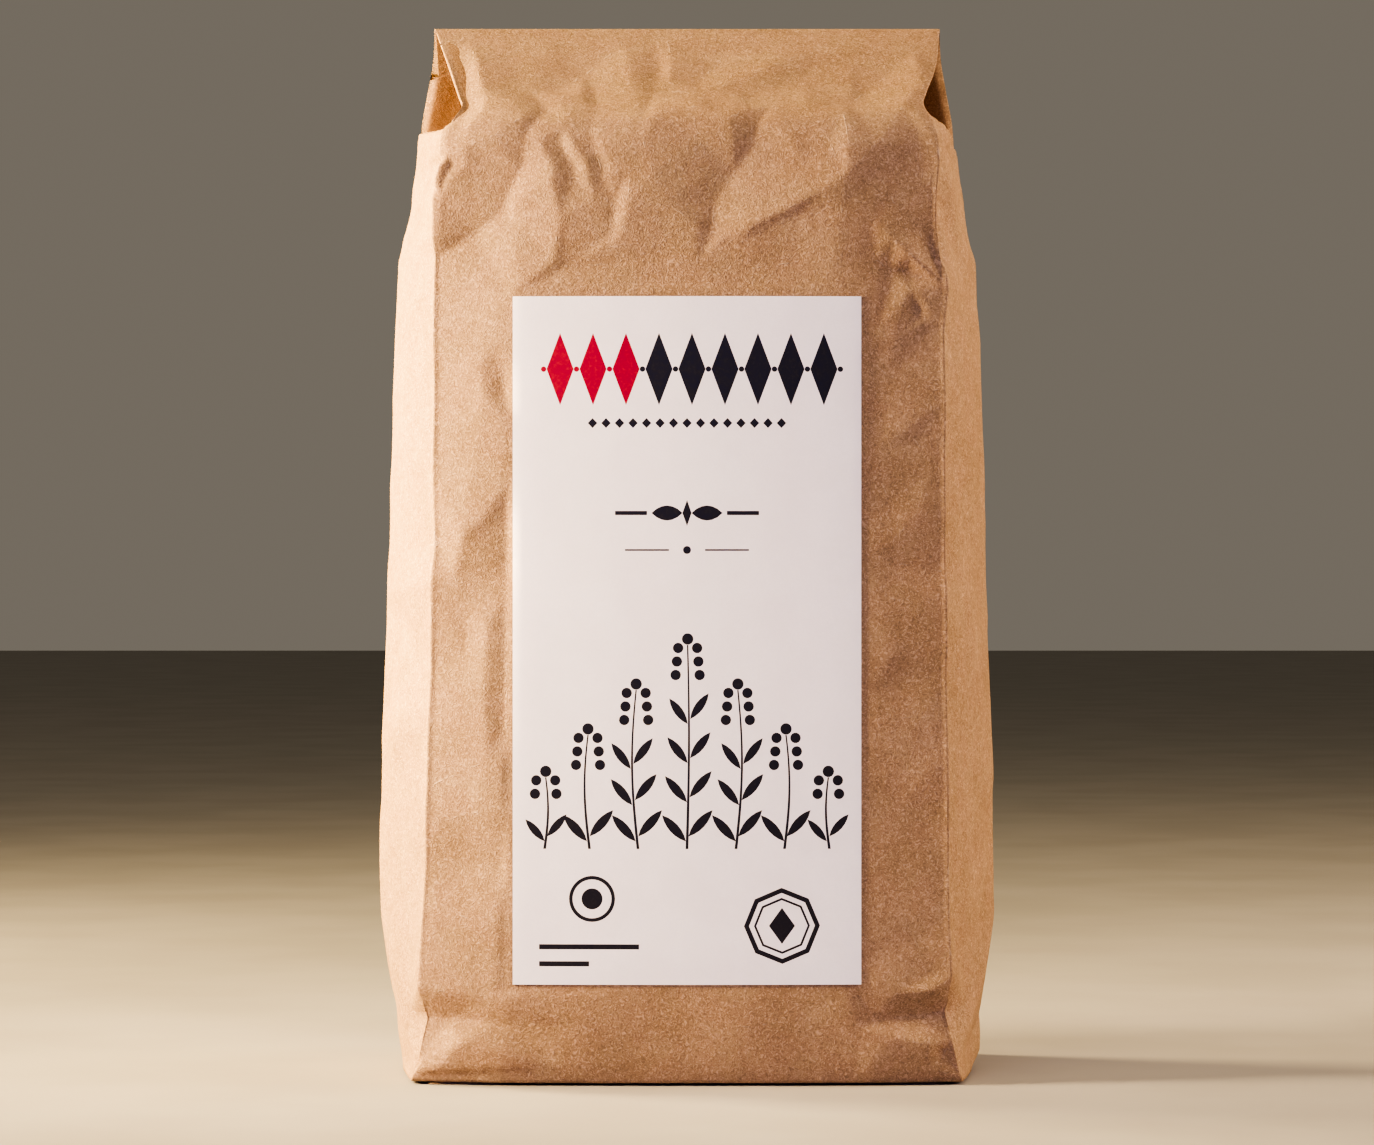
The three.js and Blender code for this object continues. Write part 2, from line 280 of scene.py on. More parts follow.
LEFT_CREASES = [
    # from the notch in the front's edge down to the bulge of the gusset
    [(-51, 184.8, -0.4), (-53.6, 184.4, -0.6), (-66, 179, -0.5), (-80, 173, 0.3)],
    [(-50.8, 150, 0.2), (-44, 146.6, 0.4), (-38.6, 148.6, 0.2)],
    [(-41.4, 146, 0.5), (-40.6, 138.6, 0.5)],
    [(-37.2, 143, -0.4), (-36.8, 138, -0.5)],
    [(-50.8, 123.6, 0.2), (-43, 122.4, 0.6), (-35.8, 121.2, 0.1)],
    # the arrow-shaped fold that comes in from the gusset
    [(-35.8, 121.2, 0.1), (-40.4, 115, 0.8), (-45, 109.6, 1.3), (-46.6, 102.4, 0.8), (-44, 96.6, 0.3)],
    [(-66, 108.2, -0.4), (-51.2, 108.8, 0), (-45, 109.6, 1.3)],
    [(-64, 99.6, 0.5), (-51.2, 101, 0.5)],
    [(-36.6, 113, -0.6), (-36.2, 104, -0.7), (-36.6, 97, -0.3)],
    [(-40, 94, 0.5), (-40.6, 80, 0.6), (-39.8, 65.4, 0.7)],
    [(-36.2, 88, -0.3), (-36.2, 72, -0.4)],
    [(-70, 92.7, -0.4), (-60, 87, -0.5), (-51.8, 83, -0.1)],
    [(-68, 72, 0.5), (-51.6, 70, 0.2)],
    [(-52.6, 59.4, 0), (-46, 62.8, 0.3), (-39.8, 65.4, 0.7)],
    [(-50, 53, 0.3), (-42, 55, 0.4)],
    [(-66, 47, -0.3), (-52, 46, -0.2), (-44, 45, -0.6), (-37, 44.6, -0.5)],
    [(-50.6, 36, 0.3), (-43, 33.4, 0.5), (-37, 37, 0.2)],
]
RIGHT_CREASES = [
    [(37.6, 150.4, 0), (42, 150, 0.3), (48, 153.4, 0.1)],
    [(38.2, 144.4, -0.5), (40.6, 142.4, -0.5)],
    [(52.4, 138, 0.2), (47, 134.6, 0.6), (42.4, 130.4, 0.4)],
    [(46, 129.4, -0.3), (49, 124.4, -0.4)],
    [(38, 128, -0.2), (40.4, 116, -0.4)],
    [(46, 115, 0.4), (41.6, 109.8, 0.4)],
    [(35.8, 105.2, 0), (43, 104.8, -0.7), (50.6, 103.5, -0.7), (60, 102.4, 0)],
    [(39, 98, 0.3), (47, 97.4, 0.4)],
    [(45, 90, 0.3), (41, 86.6, 0.4)],
    [(36, 79.4, 0.1), (43, 81, -0.6), (51, 82.6, -0.6), (60, 84, 0)],
    [(41, 73.6, 0.3), (47.6, 74.4, 0.3)],
    [(43.6, 64.4, 0.3), (48, 62.2, 0.7), (53, 59.4, 0.2)],
    [(42, 55, -0.3), (48, 52.6, -0.5)],
    [(38.4, 46, 0.2), (44, 44.4, 0.1)],
    [(42.8, 34.3, 0), (46.2, 28.8, -0.6), (49.4, 22.9, -0.3)],
    [(52, 34, 0.1), (52.6, 27.5, 0.6)],
    [(53.6, 22.4, 0.4), (62, 23.6, -0.2)],
    # down the gusset, beside the front's edge
    [(54.2, 166, 0.5), (55, 152, 0.1)],
    [(52, 187, 0.4), (59, 178.6, 1.0), (70, 168, 0.4)],
    [(53.6, 178, -0.5), (61, 168.6, -0.5), (68, 160, 0)],
]
BOTTOM_CREASES = [
    # the left corner: a hollow, and the folded corner below it
    [(-53.2, 19.4, 0.7), (-45, 18.6, 0.7), (-40.4, 17.4, 0.4)],
    [(-62, 14, -0.2), (-55.4, 13.5, -0.9), (-48, 13.3, -1.5), (-39, 12.7, -0.8)],
    [(-39, 12.7, -0.8), (-45, 8.8, 0.8), (-51.2, 3, 0.8)],
    [(-58, 5.4, -0.4), (-55, 4.8, -1.0), (-53.6, 5.6, -0.4)],
    # the right corner
    [(42, 18.6, 0.4), (49.8, 19.4, 0.8)],
    [(37.3, 13.2, -0.7), (46, 13.9, -1.5), (54.4, 15.4, -0.9), (62, 15, -0.2)],
    [(34.6, 11.8, 0), (41, 10, 0.6), (48.5, 8.6, 0.9)],
    [(53.4, 8.6, -0.7), (51.8, 6.4, -1.0)],
    [(48.6, 4, 0.4), (53.6, 1.8, 0.4)],
    [(-22, 12.6, 0.2), (-6, 14.4, -0.2), (12, 12.2, 0.25), (26, 14, -0.1)],
]

# The creases of each stretch, and how strongly they are pressed.
FRONT_CREASES = (
    (TOP_CREASES, 0.9), (UPPER_FRONT_CREASES, 1.0), (LEFT_CREASES, 1.0), (RIGHT_CREASES, 0.6),
    (BOTTOM_CREASES, 1.2),
)
GUSSET_PRESS = 2.2  # the creases of the front go on more strongly past its edge


def on_paper(creases, press):
    """Creases with the x of their spots turned to ways round the paper."""
    found = []
    for crease in creases:
        spots = []
        for x, height, rise in crease:
            edge = float(FRONT_EDGE_LEFT(height) if x < 0 else FRONT_EDGE_RIGHT(height))
            on_gusset = abs(x) > edge
            around = PANEL + abs(x) - edge if on_gusset else PANEL * abs(x) / edge
            out = rise * press * (GUSSET_PRESS if on_gusset else 1)
            spots.append((math.copysign(around, x), height, out))
        found.append(spots)
    return found


def front_creases():
    return [crease for creases, press in FRONT_CREASES for crease in on_paper(creases, press)]


def gusset_creases(side):
    """The folds pressed into a gusset when the flat bag was made: its middle line, and a Y at its foot."""
    front, middle, back = side * FRONT_END, side * (PANEL + GUSSET), side * GUSSET_END
    near, far = (front + middle) / 2, (back + middle) / 2
    fork = (middle, GUSSET, 1.3)
    return [
        [(front, 2, 0), (near, 17, 0.7), fork],
        [(back, 2, 0), (far, 17, 0.7), fork],
        [fork, (middle, 60, 0.8), (middle, 120, 0.5), (middle, 176, 0.7), (middle, 188, 0.2)],
        [(near, 8, -0.7), (middle, 12, -0.8), (far, 8, -0.7)],
    ]


def back_creases():
    """The folds of the back: the line where its foot was turned up, and creases from the filling. They
    are set out from the middle of the back, with less than 0 towards the right gusset."""
    creases = [
        [(-48, 33, 0.1), (-20, 33.6, 0.5), (-1, 33, 0.4)],
        [(1, 33, 0.4), (20, 32.8, 0.5), (48, 33.4, 0.1)],
        [(-50, 176, -0.5), (-34, 166, -0.9), (-22, 150, -0.2)],
        [(-40, 184, 0.5), (-24, 172, 0.6), (-14, 158, 0.2)],
        [(50, 172, -0.5), (33, 178, -1.0), (16, 170, -0.3)],
        [(44, 160, 0.6), (30, 163, 0.8), (18, 156, 0.2)],
        [(-46, 118, 0.1), (-34, 112, 0.8), (-16, 116, 0.1)],
        [(48, 92, 0.1), (30, 88, 0.8), (12, 93, 0.1)],
        [(-44, 70, -0.5), (-30, 62, -0.7), (-20, 66, -0.1)],
        [(40, 130, -0.6), (24, 124, -0.5)],
        [(46, 15, -0.5), (30, 13, -0.7), (14, 15, -0.2)],
        [(-46, 14, -0.5), (-32, 12, -0.6), (-16, 14, -0.2)],
    ]
    return [[(way - math.copysign(AROUND, way), *spot) for way, *spot in crease] for crease in creases]


def liveliness(around, height):
    """How creased the paper is between the creases above: most at the shoulders and the foot."""
    ends = 0.75 * smoothstep(150, 178, height) + 0.6 * (1 - smoothstep(14, 40, height))
    return (0.55 + ends) * (0.35 + 1.6 * smoothstep(50, 60, np.abs(around)))


def under_label(around, height, margin):
    return (
        (np.abs(around) < LABEL_HIGH[0] + margin)
        & (height > LABEL_LOW[2] - margin)
        & (height < LABEL_HIGH[2] + margin)
    )


def net_of(creases, pitch, rise, clear, seed):
    """Spots and crease lines of a net of facets: the creases, and loose spots between them on a shaken
    grid, each with a random rise."""
    rng = np.random.default_rng(seed)
    spots = [spot for crease in creases for spot in crease]
    lines = []
    count = 0
    for crease in creases:
        lines += [(count + i, count + i + 1) for i in range(len(crease) - 1)]
        count += len(crease)
    taken = np.array(spots)[:, :2] if spots else np.zeros((0, 2))
    rows = int(RIDGE / pitch) + 1
    columns = int(2 * AROUND / pitch)
    for row in range(rows + 1):
        for column in range(columns):
            around = -AROUND + (column + 0.5 * (row % 2) + 0.25) * 2 * AROUND / columns
            around += pitch * rng.uniform(-0.33, 0.33)
            height = np.clip(row * RIDGE / rows + pitch * rng.uniform(-0.33, 0.33), 0, RIDGE)
            out = rise * rng.normal() * liveliness(around, height)
            if abs(around) > AROUND - pitch / 3:
                continue
            if under_label(around, height, 0.5):
                out *= 0.12
            if len(taken) and np.hypot(*(taken - (around, height)).T).min() < clear:
                continue
            spots.append((around, height, out))
    for row in range(rows + 1):
        out = 0.5 * rise * rng.normal()
        spots += [(end, row * RIDGE / rows, out) for end in (-AROUND, AROUND)]
    return spots, lines


def facets(spots, lines, around, height):
    """The rise of the net at every point of a grid."""
    flat = [Vector(spot[:2]) for spot in spots]
    places, _, triangles, source, _, _ = delaunay_2d_cdt(flat, lines, [], 0, 1e-4)
    out = np.zeros(len(places))
    for i, came_from in enumerate(source):
        rises = [spots[k][2] for k in came_from]
        out[i] = sum(rises) / len(rises) if rises else 0.0
    for i, came_from in enumerate(source):
        if not came_from:  # where two creases cross
            near = np.hypot(*(np.array(flat) - np.array(places[i])).T).argmin()
            out[i] = spots[near][2]
    result = np.zeros(np.broadcast(around, height).shape)
    columns, rows = around[0], height[:, 0]
    for triangle in triangles:
        (ax, ay), (bx, by), (cx, cy) = (places[k] for k in triangle)
        area = (bx - ax) * (cy - ay) - (cx - ax) * (by - ay)
        if abs(area) < 1e-9:
            continue
        c0, c1 = np.searchsorted(columns, (min(ax, bx, cx) - 1e-6, max(ax, bx, cx) + 1e-6))
        r0, r1 = np.searchsorted(rows, (min(ay, by, cy) - 1e-6, max(ay, by, cy) + 1e-6))
        x, y = columns[None, c0:c1], rows[r0:r1, None]
        b = ((x - ax) * (cy - ay) - (cx - ax) * (y - ay)) / area
        c = ((bx - ax) * (y - ay) - (x - ax) * (by - ay)) / area
        inside = (b >= -1e-7) & (c >= -1e-7) & (b + c <= 1 + 1e-7)
        plane = out[triangle[0]] * (1 - b - c) + out[triangle[1]] * b + out[triangle[2]] * c
        result[r0:r1, c0:c1] = np.where(inside, plane, result[r0:r1, c0:c1])
    return result


def places(start, *stretches):
    """Places from start on. Each stretch gives its end and the spacing in it."""
    found = [np.array([start])]
    for end, cell in stretches:
        found.append(np.linspace(start, end, round((end - start) / cell) + 1)[1:])
        start = end
    return np.concatenate(found)


def paper_grid():
    """The spots of the bag's surface: (way round, height), both as tables of rows and columns."""
    right = places(
        0.0, (FRONT_END - CORNER, CELL), (FRONT_END + CORNER, CORNER_CELL), (GUSSET_END, SIDE_CELL),
        (AROUND - SEAM - 1.6, BACK_CELL), (AROUND - SEAM + 1.6, CORNER_CELL), (AROUND, BACK_CELL),
    )
    columns = np.concatenate([-right[:0:-1], right])[:-1]
    rows = places(BODY_FOOT, (24.0, 0.6), (150.0, 1.08), (183.0, 0.5), (200.0, 0.4), (BODY_TOP, 0.5))
    return np.meshgrid(columns, rows)


def crease_sides(creases, around, height):
    """For every spot, how far it lies to the left of the nearest crease, as it runs (less than 0: right)."""
    spots = np.stack([around, height], axis=-1)
    nearest = np.full(around.shape, 1e9)
    side = np.full(around.shape, 1e9)
    for crease in creases:
        for start, end in zip(np.array(crease)[:-1, :2], np.array(crease)[1:, :2]):
            along = end - start
            share = np.clip((spots - start) @ along / (along @ along), 0, 1)
            away = spots - start - share[..., None] * along
            gap = np.hypot(away[..., 0], away[..., 1])
            left = np.where(along[0] * away[..., 1] - along[1] * away[..., 0] < 0, -gap, gap)
            side = np.where(gap < nearest, left, side)
            nearest = np.minimum(gap, nearest)
    return side


def relief(around, height):
    """How far the creased paper stands out from the plain shape."""
    creases = front_creases() + gusset_creases(-1) + gusset_creases(1) + back_creases()
    large = facets(*net_of(creases, pitch=15, rise=0.32, clear=6.5, seed=11), around, height)
    small = facets(*net_of([], pitch=6.4, rise=0.08, clear=0, seed=23), around, height)
    lively = liveliness(around, height)
    rng = np.random.default_rng(5)
    ripple = blur(rng.normal(size=around.shape), 5, 5)
    ripple *= 0.03 / ripple.std()
    out = blur(large, 0.6, 0.55) + blur(small, 0.6, 0.6) + ripple * lively
    out *= smoothstep(-1, 4, height) * (1 - 0.9 * smoothstep(206, RIDGE, height))
    in_tuck = (np.abs(around) > FRONT_END) & (np.abs(around) < GUSSET_END)
    calm_tuck = np.where(in_tuck, 1 - smoothstep(186, 200, height), 1)
    under_flap = (np.abs(around) > GUSSET_END) * smoothstep(188, 193, height)
    out *= blur(calm_tuck * (1 - 0.9 * under_flap), 0.01, 2)
    label_calm = under_label(around, height, 1.7)
    out *= 1 - 0.85 * blur(label_calm.astype(float), 0.8, 0.8)
    pressed = np.exp(-(((np.abs(around) - FRONT_END) / 0.5) ** 2)) * smoothstep(14, 30, height)
    out += 0.26 * pressed * (1 - smoothstep(184, 190, height))
    return out + seam_step(around, height)


def crease_lines_and_tuck_shade(around, height):
    """Three numbers for every spot, for the paper's material: its way to the nearest crease, signed and
    unsigned, and how deep it lies in a tuck, from 0 to 1, which sets the painted shade that darkens the
    paper's colour there."""
    corners = [[(side * FRONT_END, 4), (side * FRONT_END, 214)] for side in (-1, 1)]
    pressed = corners + gusset_creases(-1) + gusset_creases(1)
    side = crease_sides(front_creases() + pressed, around, height)
    from_edge = np.minimum(np.abs(around) - FRONT_END, GUSSET_END - np.abs(around))
    # painted shade: how deep a spot lies in a tuck, where the material darkens the paper's colour to stand
    # in for the shade inside the fold
    tuck_shade = smoothstep(-0.3, 2.0, height - shelf_height(around)) * smoothstep(0.4, 3, from_edge)
    return np.stack([np.clip(side, -4, 4), np.clip(np.abs(side), 0, 4), tuck_shade], axis=-1)


def seam_step(around, height):
    """The glued seam down the back: one side of the paper lies over the other."""
    past = around - (AROUND - SEAM)
    lap = smoothstep(-0.4, 0.4, past) * (1 - smoothstep(8, SEAM, past))
    return 0.4 * lap * smoothstep(0, 3, height) * (1 - smoothstep(188, 193, height))


# ---------------------------------------------------------------- meshes


def mesh_object(name, points, faces, material_numbers=None, flat=()):
    """A mesh object from points in millimetres. Faces are shaded smooth, but for the flat ones, whose
    edges are sharp."""
    mesh = bpy.data.meshes.new(name)
    mesh.from_pydata([tuple(p) for p in np.asarray(points) * MM], [], faces)
    smooth = np.ones(len(faces), bool)
    smooth[list(flat)] = False
    mesh.polygons.foreach_set("use_smooth", smooth)
    sharp = {key for k in flat for key in mesh.polygons[k].edge_keys}
    mesh.edges.foreach_set("use_edge_sharp", [edge.key in sharp for edge in mesh.edges])
    if material_numbers is not None:
        mesh.polygons.foreach_set("material_index", material_numbers)
    mesh.update()
    piece = bpy.data.objects.new(name, mesh)
    bpy.context.scene.collection.objects.link(piece)
    return piece


def grid_faces(rows, columns, wrap=False, start=0):
    r, c = np.meshgrid(np.arange(rows - 1), np.arange(columns if wrap else columns - 1), indexing="ij")
    right = (c + 1) % columns
    low, high = r * columns, (r + 1) * columns
    corners = np.stack([low + c, low + right, high + right, high + c])
    return (corners.reshape(4, -1).T + start).tolist()


def normals_of(points):
    """Outward unit normals of the bag's grid."""
    along = np.roll(points, -1, 1) - np.roll(points, 1, 1)
    up = np.gradient(points, axis=0)
    normal = np.cross(along, up)
    normal /= np.linalg.norm(normal, axis=-1, keepdims=True)
    soft = np.stack([blur(normal[..., axis], 2, 2) for axis in range(3)], axis=-1)
    return soft / np.linalg.norm(soft, axis=-1, keepdims=True)


def sheet(surface, below):
    """Points and faces of a closed thin sheet between two grids of points of one shape."""
    rows, columns = surface.shape[:2]
    count = rows * columns
    points = np.concatenate([surface.reshape(-1, 3), below.reshape(-1, 3)])
    top = grid_faces(rows, columns)
    bottom = [face[::-1] for face in grid_faces(rows, columns, start=count)]
    number = np.arange(count).reshape(rows, columns)
    rim = np.concatenate([number[0], number[1:, -1], number[-1, -2::-1], number[-2:0:-1, 0]])
    after = np.roll(rim, -1)
    sides = np.stack([after, rim, rim + count, after + count], axis=1).tolist()
    return points, top + bottom + sides


# The folded-over top: its length behind the ridge, the thickness of a layer, the pitch and depth of the
# zigzag at its end, how far the end lifts, and how near the tucked gussets come to the middle.
FLAP_LENGTH = 33.0
PAPER = 0.3
TOOTH = 2.6
TOOTH_DEPTH = 0.8
END_LIFT = 0.7
TUCK_END = 18.6
BACK_SPOT = (27.0, 194.0)  # (depth, height) of the back's slope, which the folded-over top lies along
FRONT_SPOT = 206.0  # the height down to which the front leans straight from the ridge
# the name of the points' attribute with the crease distances and the tuck depth, which the paper's material
# reads for its worn lines and its painted shade
CREASE_AND_SHADE_ATTRIBUTE = "crease_lines_and_tuck_shade"


def flap_layer(x_from, x_to, lift, length, seed, front_start):
    """One layer of the folded-over top: it bends over the ridge and lies on the back's slope. Its cut
    end is a fine zigzag, and lifts a little."""
    half_tooth = TOOTH / 2
    inner = np.arange(math.ceil(x_from / half_tooth), x_to / half_tooth) * half_tooth
    x = np.unique(np.concatenate([[x_from], inner, [x_to]]))
    along = places(-front_start, (2.0, 0.4), (length, 2.0))
    rng = np.random.default_rng(seed)
    wave = sum(np.sin(x * rng.uniform(0.05, 0.16) + rng.uniform(0, 6)) for _ in range(3)) / 3
    slope = np.array([0, BACK_SPOT[0], BACK_SPOT[1] - BODY_TOP])
    slope /= np.linalg.norm(slope)
    front = np.array([0, -FRONT_DEPTH(FRONT_SPOT), FRONT_SPOT - BODY_TOP])
    front /= np.linalg.norm(front)
    out_back = np.array([0, -slope[2], slope[1]])
    out_front = np.array([0, front[2], -front[1]])

    tooth = np.abs((x / TOOTH) % 1 - 0.5) * 2 * TOOTH_DEPTH
    share = np.clip(along / length, 0, 1)[:, None]
    reach = along[:, None] - share**8 * tooth[None, :]
    bend = smoothstep(-1.2, 1.2, reach)
    run = np.maximum(reach, 0)[..., None] * slope + np.maximum(-reach, 0)[..., None] * front
    between_tucks = 1 - smoothstep(TUCK_END - 1.2, TUCK_END, np.abs(x))
    sunk = PAPER * between_tucks[None, :] * smoothstep(1, 4, reach)
    raised = lift - sunk + END_LIFT * share**3 * (0.5 + wave[None, :])
    outward = mix(out_front, out_back, bend[..., None])
    outward /= np.linalg.norm(outward, axis=-1, keepdims=True)
    middle = np.array([0, 0, BODY_TOP - 0.25])
    base = middle + run + outward * raised[..., None]
    base[..., 0] = x[None, :]
    return sheet((base + outward * PAPER)[:, ::-1], base[:, ::-1])


def top_flap():
    """The layers of the folded-over top: front paper, tucked gussets, back paper."""
    parts = [flap_layer(-PANEL, PANEL, 0.62, FLAP_LENGTH, 3, 1.2)]
    for x_from, x_to in ((-PANEL + 0.3, -TUCK_END), (TUCK_END, PANEL - 0.3)):
        parts.append(flap_layer(x_from, x_to, 0.31, FLAP_LENGTH - 0.5, 4, 0.2))
    parts.append(flap_layer(-PANEL + 0.2, PANEL - 0.2, 0.0, FLAP_LENGTH - 0.2, 5, 0.2))
    return parts


def base_flaps():
    """The glued flaps of the block bottom: two trapezoids that overlap in the middle of the base."""
    half_width, half_depth, overlap, thick = 52, 28, 6, 0.14
    parts = []
    for side, height in ((-1, 0.13), (1, 0.01)):
        depth = np.linspace(-half_depth, overlap, 12)
        half = half_width - (depth + half_depth)
        x = np.linspace(-1, 1, 30)[None, :] * half[:, None] * side
        y = (depth * -side)[:, None] + 0 * x
        lower = np.stack([x, y, np.full_like(x, height)], axis=-1)
        parts.append(sheet(lower + (0, 0, thick), lower))
    return parts


def join(parts):
    """The points and faces of several meshes as those of one."""
    points, faces = [], []
    for part_points, part_faces in parts:
        start = sum(len(p) for p in points)
        points.append(part_points)
        faces += [[k + start for k in face] for face in part_faces]
    return np.concatenate(points), faces


def bag_surface():
    """The bag's grid of spots, and its creased surface."""
    around, height = paper_grid()
    plain = plain_shape(around, height)
    creased = plain + normals_of(plain) * relief(around, height)[..., None]
    creased[..., 2] = np.clip(creased[..., 2], BODY_FOOT, RIDGE)
    creased[0, :, 2] = BODY_FOOT
    return around, height, creased


def rounded_foot(lowest):
    """The rings of points from the base up to the paper's lowest upright spots."""
    rings = []
    for height, inset in FOOT_ROUNDING:
        ring = lowest * (1 - inset / BAG_HIGH[0], 1 - inset / BAG_HIGH[1], 0)
        rings.append(ring + (0, 0, height))
    return np.array(rings)


def make_bag(surface, crease_and_shade):
    """The paper bag as one piece: its creased wall, its flat ends and its flaps."""
    surface = np.concatenate([rounded_foot(surface[0]), surface])
    crease_and_shade = np.concatenate([crease_and_shade[: len(FOOT_ROUNDING)], crease_and_shade])
    rows, columns = surface.shape[:2]
    walls = grid_faces(rows, columns, wrap=True)
    foot = list(range(columns))[::-1]
    top = [(rows - 1) * columns + i for i in range(columns)]
    body = surface.reshape(-1, 3), walls + [foot, top]
    points, faces = join([body, *top_flap(), *base_flaps()])
    piece = mesh_object("paper_bag", points, faces, flat=(len(walls), len(walls) + 1))
    unmarked = np.tile((4.0, 4.0, 0.0), (len(points) - rows * columns, 1))
    # the crease distances and the tuck depth, for the worn lines and the painted shade in the tucks; the
    # flaps have neither
    layer = piece.data.attributes.new(CREASE_AND_SHADE_ATTRIBUTE, "FLOAT_VECTOR", "POINT")
    layer.data.foreach_set("vector", np.concatenate([crease_and_shade.reshape(-1, 3), unmarked]).ravel())
    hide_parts("bag")
    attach(piece, "root")
    piece.data.materials.append(kraft_paper())


# ---------------------------------------------------------------- the label and its print


def circle(x, y, radius, sides, turn=0.0):
    turns = np.arange(sides) * 2 * math.pi / sides + turn
    return [(x + radius * math.cos(t), y + radius * math.sin(t)) for t in turns]


def ring(x, y, radius, width, sides=40):
    """A ring as short pieces, end to end."""
    outer, inner = (circle(x, y, r, sides, 0.01) for r in (radius, radius - width))
    return [list(piece) for piece in zip(outer, outer[1:] + outer[:1], inner[1:] + inner[:1], inner)]


def lozenge(x, y, half_width, half_height):
    return [(x - half_width, y), (x, y - half_height), (x + half_width, y), (x, y + half_height)]


def bar(x, y, half_width, height):
    low, high = y - height / 2, y + height / 2
    return [(x - half_width, low), (x + half_width, low), (x + half_width, high), (x - half_width, high)]


def leaf(x, y, length, width, angle, steps=7):
    """A pointed leaf from its stem end (x, y), in the direction of the angle."""
    share = np.linspace(0, 1, steps)
    half = width / 2 * np.sin(share * math.pi) ** 0.8
    along = np.array([math.cos(angle), math.sin(angle)])
    side = np.array([-along[1], along[0]])
    one = [np.array([x, y]) + along * length * s + side * h for s, h in zip(share, half)]
    other = [np.array([x, y]) + along * length * s - side * h for s, h in zip(share[1:-1], half[1:-1])]
    return [tuple(p) for p in one[::-1] + other]


def stem_point(foot, height, sway, share):
    return foot + sway * math.sin(share * math.pi * 0.9), height[0] + (height[1] - height[0]) * share


def stem(foot, height, sway, width, steps=14):
    points = [stem_point(foot, height, sway, i / steps) for i in range(steps + 1)]
    widths = [width * (1 - 0.5 * i / steps) / 2 for i in range(steps + 1)]
    left = [(x - w, y) for (x, y), w in zip(points, widths)]
    right = [(x + w, y) for (x, y), w in zip(points, widths)]
    return right + left[::-1]


def berry_sprig(foot, low, high, sway):
    """A sprig: a curved stem with pairs of leaves, and round berries at its tip. A short one has fewer."""
    shapes = [stem(foot, (low, high), sway, 0.55)]
    length = high - low
    levels = 3 if length > 20 else 2
    crown = 2.7 * levels
    pairs = max(1, int((length - crown - 3) / 6.2))
    size = min(7.2, 0.42 * length)
    for i in range(pairs):
        share = (2 + i * (length - crown - size - 2) / max(pairs - 1, 1)) / length
        x, y = stem_point(foot, (low, high), sway, share)
        for side in (-1, 1):
            angle = math.pi / 2 - side * (0.75 - 0.2 * share)
            reach = size * (1 - 0.2 * share)
            shapes.append(leaf(x + side * 0.25, y + side * 0.5, reach, reach * 0.27, angle))
    x, y = stem_point(foot, (low, high), sway, 1)
    shapes.append(circle(x, y + 1.2, 1.15, 14))
    for level in range(levels):
        for side in (-1, 1):
            reach = 1.9 + 0.25 * level
            shapes.append(circle(x + side * reach, y - 0.6 - 2.7 * level, 1.05, 14))
    return shapes


def black_print():
    """The black shapes of the print, in millimetres from the middle of the label's lower edge."""
    shapes = []
    for i in range(6):  # the band at the head
        shapes.append(lozenge(-5.6 + 6.6 * i, 123.2, 2.7, 7.2))
    for i in range(7):
        shapes.append(circle(-8.9 + 6.6 * i, 123.2, 0.55, 12))
    for i in range(15):  # a fine row under it
        shapes.append(lozenge(-18.9 + 2.7 * i, 112.4, 0.95, 1.0))
    shapes += [bar(-11.2, 94.4, 3.2, 0.8), bar(11.2, 94.4, 3.2, 0.8)]  # the ornament in the middle
    shapes += [leaf(-0.9, 94.4, 6.2, 3.0, math.pi), leaf(0.9, 94.4, 6.2, 3.0, 0.0)]
    shapes.append(lozenge(0, 94.4, 0.9, 2.6))
    shapes += [bar(-8, 87, 4.4, 0.32), circle(0, 87, 0.8, 14), bar(8, 87, 4.4, 0.32)]
    for foot, high, sway in (
        (0, 68, 0.4), (-9.8, 59, -1.2), (9.8, 59, 1.2), (-19.5, 50, -1), (19.5, 50, 1), (-28.5, 41.5, 0.7),
        (28.5, 41.5, -0.7),
    ):
        shapes += berry_sprig(foot, 27.2, high, sway)
    shapes += ring(-19, 17.2, 4.6, 0.7)  # the mark at the lower left, and two lines under it
    shapes.append(circle(-19, 17.2, 2.1, 24))
    shapes += [bar(-19.6, 7.6, 10, 1.0), bar(-24.6, 4.2, 5, 1.0)]
    shapes += ring(19, 11.8, 7.6, 1.0, 8) + ring(19, 11.8, 5.6, 0.45, 8)  # the mark at the lower right
    shapes.append(lozenge(19, 11.8, 2.6, 3.6))
    return shapes


def red_print():
    return [
        *[lozenge(-25.4 + 6.6 * i, 123.2, 2.7, 7.2) for i in range(3)],
        *[circle(-28.7 + 6.6 * i, 123.2, 0.55, 12) for i in range(3)],
    ]


def label_layout():
    """The label's outline with its print cut in: flat points, triangles, and an ink number for each."""
    half, tall = LABEL_HIGH[0], LABEL_HIGH[2] - LABEL_LOW[2]
    across, up = 34, 68  # cells of the sheet
    outline = [(-half + 2 * half * i / across, 0.0) for i in range(across)]
    outline += [(half, tall * i / up) for i in range(up)]
    outline += [(half - 2 * half * i / across, tall) for i in range(across)]
    outline += [(-half, tall - tall * i / up) for i in range(up)]
    shapes = [(outline, 0)] + [(s, 1) for s in black_print()] + [(s, 2) for s in red_print()]
    points, faces = [], []
    for shape, _ in shapes:
        faces.append(list(range(len(points), len(points) + len(shape))))
        points += [Vector(p) for p in shape]
    for i in range(1, across):
        points += [Vector((-half + 2 * half * i / across, tall * k / up)) for k in range(1, up)]
    flat, _, triangles, _, _, source = delaunay_2d_cdt(points, [], faces, 1, 1e-5)
    colours = [max((shapes[k][1] for k in came_from), default=0) for came_from in source]
    return np.array(flat), [list(t) for t in triangles], colours


